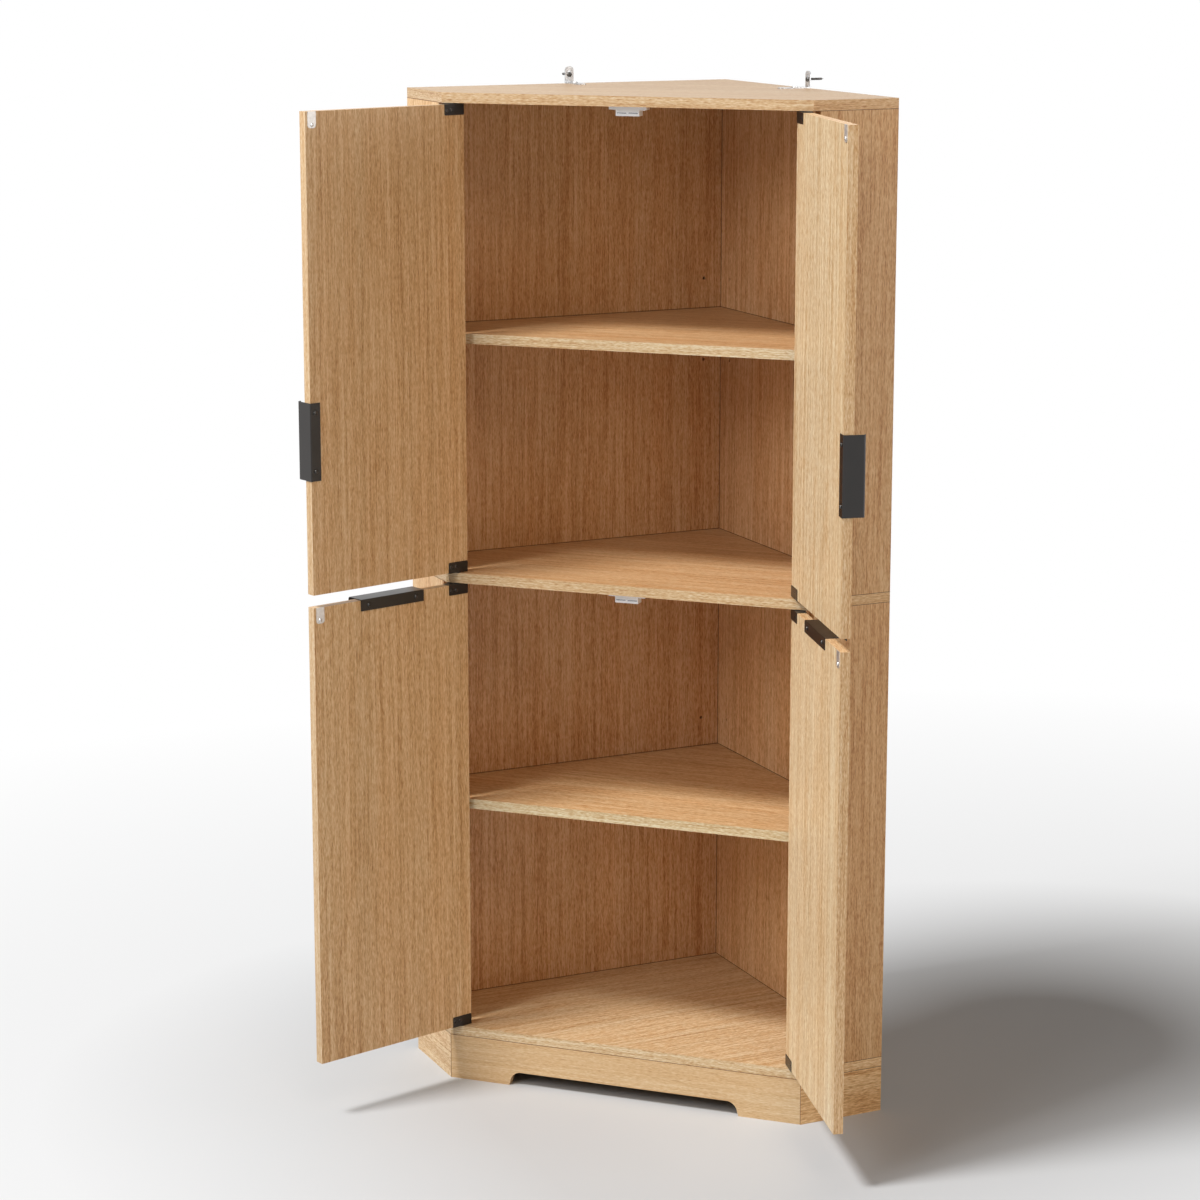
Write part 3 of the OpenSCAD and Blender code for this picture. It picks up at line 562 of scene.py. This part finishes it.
# The tints are painted light and shade: the right doors, which face the key lamp, are made paler and
# cooler and the left doors, in shade, warmer; the far faces and the edges have painted light of their own
# too
for door, shift, pith, tint in (
    ("upper_left", (0.7, 0.3, 1.9), 0.02, (1.17, 1.14, 1.05)),
    ("upper_right", (2.2, 0.9, 3.1), -0.05, (1.03, 1.19, 1.33)),
    ("lower_left", (3.5, 1.4, 5.6), 0.06, (1.18, 1.17, 1.09)),
    ("lower_right", (5.9, 2.2, 7.4), -0.02, (1.11, 1.28, 1.43)),
):
    side = 1 if "right" in door else -1
    across = Vector((math.cos(open_angle), math.sin(open_angle) * side, 0))
    middle = (centre_of(door + "_door") + Vector(shift)).dot(across)
    dress(door + "_door", oak(
        "oak_" + door + "_door", z_axis, across, shift, pith=(middle + pith, 0.08), pitch=80, taper=2.6,
        contrast=0.93 + 0.06 * side, face_painted_light=tint, far_painted_light=(1.08, 1.10, 1.07),
        edge_painted_light=(1.03 + 0.07 * side, 1.07 + 0.05 * side, 1.08 + 0.02 * side)))


# A handle of folded black sheet hooks over the edge of each door: on the free edge of
# the upper doors and on the top edge of the lower ones.
for door in doors:
    dress(door + "_handle", black)


# Dull nickel strike plates meet the magnets. Black screws hold the handles and the hinge
# leaves on the inner faces of the doors, and one bright screw holds each strike.
door_low, door_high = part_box("upper_left_door")
door_height = door_high.z - door_low.z
door_width, door_thick, pin_inset = 0.294, 0.015, 0.0145


def on_door(door, across, out, up):
    """A place on an open door: from its hinge end, its front face and its lower end."""
    side = 1 if "right" in door else -1
    pivot = hinges[door + "_door_set"]["pos_m"]
    closed = Vector((across - pin_inset, out - door_thick / 2, 0))
    swung = Matrix.Rotation(-open_angle, 3, "Z") @ closed
    return Vector((pivot[0] - side * swung.x, pivot[1] + swung.y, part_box(door + "_door")[0].z + up))


black_screw = plated("black_screw", (62, 60, 58), (92, 90, 88), roughness=0.30)
strike_steel = plated("strike_nickel", (196, 193, 190), (222, 220, 217), roughness=0.50)
grip_pan = {"head_d": 0.007, "head_h": 0.002, "shank_d": 0.003, "length": 0.011}
leaf_sunk = {"head_d": 0.006, "head_h": 0.0017, "shank_d": 0.0028, "length": 0.012, "sunk": True}
strike_pan = {"head_d": 0.006, "head_h": 0.0016, "shank_d": 0.003, "length": 0.010, "slot": 1}
# The screws' heads lie on the outside of the sheets, over the inner face of the door
over_grip, over_leaf, over_strike = door_thick + 0.0012, door_thick + 0.0008, door_thick + 0.0010
grip_inset, half_grip, upper_grip, leaf_inset = 0.008, 0.045, 0.237, 0.009
strike_across, strike_up = door_width - 0.011, door_height - 0.0195
for door in doors:
    dress(door + "_strike", strike_steel)
    outward = on_door(door, 0, 1, 0) - on_door(door, 0, 0, 0)
    if "upper" in door:
        grips = [(door_width - grip_inset, upper_grip + way * half_grip) for way in (-1, 1)]
    else:
        grips = [(door_width / 2 + way * half_grip, door_height - grip_inset) for way in (-1, 1)]
    leaves = [(x, z) for x in (0.022, 0.032) for z in (leaf_inset, door_height - leaf_inset)]
    held = [(on_door(door, x, over_grip, z), outward, grip_pan) for x, z in grips]
    held += [(on_door(door, x, over_leaf, z), outward, leaf_sunk) for x, z in leaves]
    held.append((on_door(door, strike_across, over_strike, strike_up), outward, strike_pan))
    door_screws = screw_set(
        door + "_screw_set", door + "_door_set", door + "_screws", held, [black_screw, bright_screw])


# The cabinet stands on a plain pale studio floor. Only the camera and reflections see a fade
# to a white glow all round it: close to the cabinet the paint shows in full with its own shade,
# and further off the glow is painted light over the floor and the fading end of the shadow.
# The floor gives back the light of pale paint.
half_floor = 30
floor_corners = [(-half_floor, -half_floor, 0), (half_floor, -half_floor, 0)]
floor_corners += [(half_floor, half_floor, 0), (-half_floor, half_floor, 0)]
floor_shape = bpy.data.meshes.new("studio_floor")
floor_shape.from_pydata(floor_corners, [], [(0, 1, 2, 3)])
floor = bpy.data.objects.new("studio_floor", floor_shape)
bpy.context.scene.collection.objects.link(floor)
floor_finish, shader, spot = new_finish("floor_paint", 0.75)
shader.inputs["Base Color"].default_value = (*colour(194, 196, 198), 1)
shader.inputs["Specular IOR Level"].default_value = 0.2


def distance_from(start, end):
    """How far a place on the floor is from a line between two points."""
    offset, run = spot.vector("SUBTRACT", (*start, 0)), Vector(end) - Vector(start)
    along = offset.dot((*run.normalized(), 0)).between(0.0, run.length)
    nearest = along.node("CombineXYZ", {}, {0: along * run.x, 1: along * run.y, 2: 0.0})
    return offset.vector("SUBTRACT", nearest).vector("LENGTH", None, "Value")


def seen(s):
    """1 for the rays of the camera and of reflections, 0 for the light between surfaces."""
    rays = s.node("LightPath", out="Is Camera Ray") + s.node("LightPath", out="Is Glossy Ray")
    return s.maths("MINIMUM", rays + s.node("LightPath", out="Is Transmission Ray"), 1.0)


# The paint shows in full along two lines that meet in front of the plinth; away from them the painted glow
# lightens the floor and its shadow
left_end, meeting, right_end = (-0.10, -0.45), (0.19, -0.75), (0.58, 0.01)
away = spot.maths("MINIMUM", distance_from(left_end, meeting), distance_from(meeting, right_end))
fade = (away.between(0.19, 0.87) * 0.72 + away.between(0.87, 2.4) * 0.28) * seen(spot)
painted_glow = spot.node("Emission", {}, {"Color": (1, 1, 1, 1), "Strength": 1.0})
paint = Sock(floor_finish.node_tree, shader.outputs[0])
mixed = spot.node("MixShader", {}, {0: fade, 1: paint, 2: painted_glow})
feed(floor_finish.node_tree.nodes["Material Output"], "Surface", mixed)
floor_shape.materials.append(floor_finish)


# A soft lamp high at the front left throws the shadow on the floor, weaker ones fill from
# the front and the right, and a white surround adds a little from all round.
def lamp(name, towards, distance, size, power, tone=(1, 1, 1)):
    """A round lamp that looks at the middle of the cabinet from so many metres away."""
    made = bpy.data.objects.new(name, bpy.data.lights.new(name, "AREA"))
    bpy.context.scene.collection.objects.link(made)
    made.data.shape = "DISK"
    made.data.size = size
    made.data.energy = power
    made.data.color = tone
    cabinet_middle, direction = Vector((0.0, -0.35, 0.8)), Vector(towards).normalized()
    made.location = cabinet_middle + direction * distance
    made.rotation_euler = direction.to_track_quat("Z", "Y").to_euler()


lamp("key_lamp", (-2.96, -3.45, 6.5), distance=7.93, size=1.7, power=628)
lamp("right_fill", (0.55, -1.0, 1.25), distance=7.0, size=3.0, power=64.5, tone=(1.0, 0.81, 0.64))
lamp("front_fill", (-0.4, -1.0, 0.6), distance=7.0, size=3.0, power=122)
lamp("side_lamp", (1.0, 0.0, 0.12), distance=7.0, size=2.2, power=94)
world = bpy.data.worlds.new("white_surround")
bpy.context.scene.world = world
world.use_nodes = True
backdrop = world.node_tree.nodes["Background"]
backdrop.inputs["Color"].default_value = (1, 1, 1, 1)
feed(backdrop, "Strength", seen(Sock(world.node_tree, None)) * 0.905 + 0.095)
bpy.context.scene.view_settings.view_transform = "Standard"
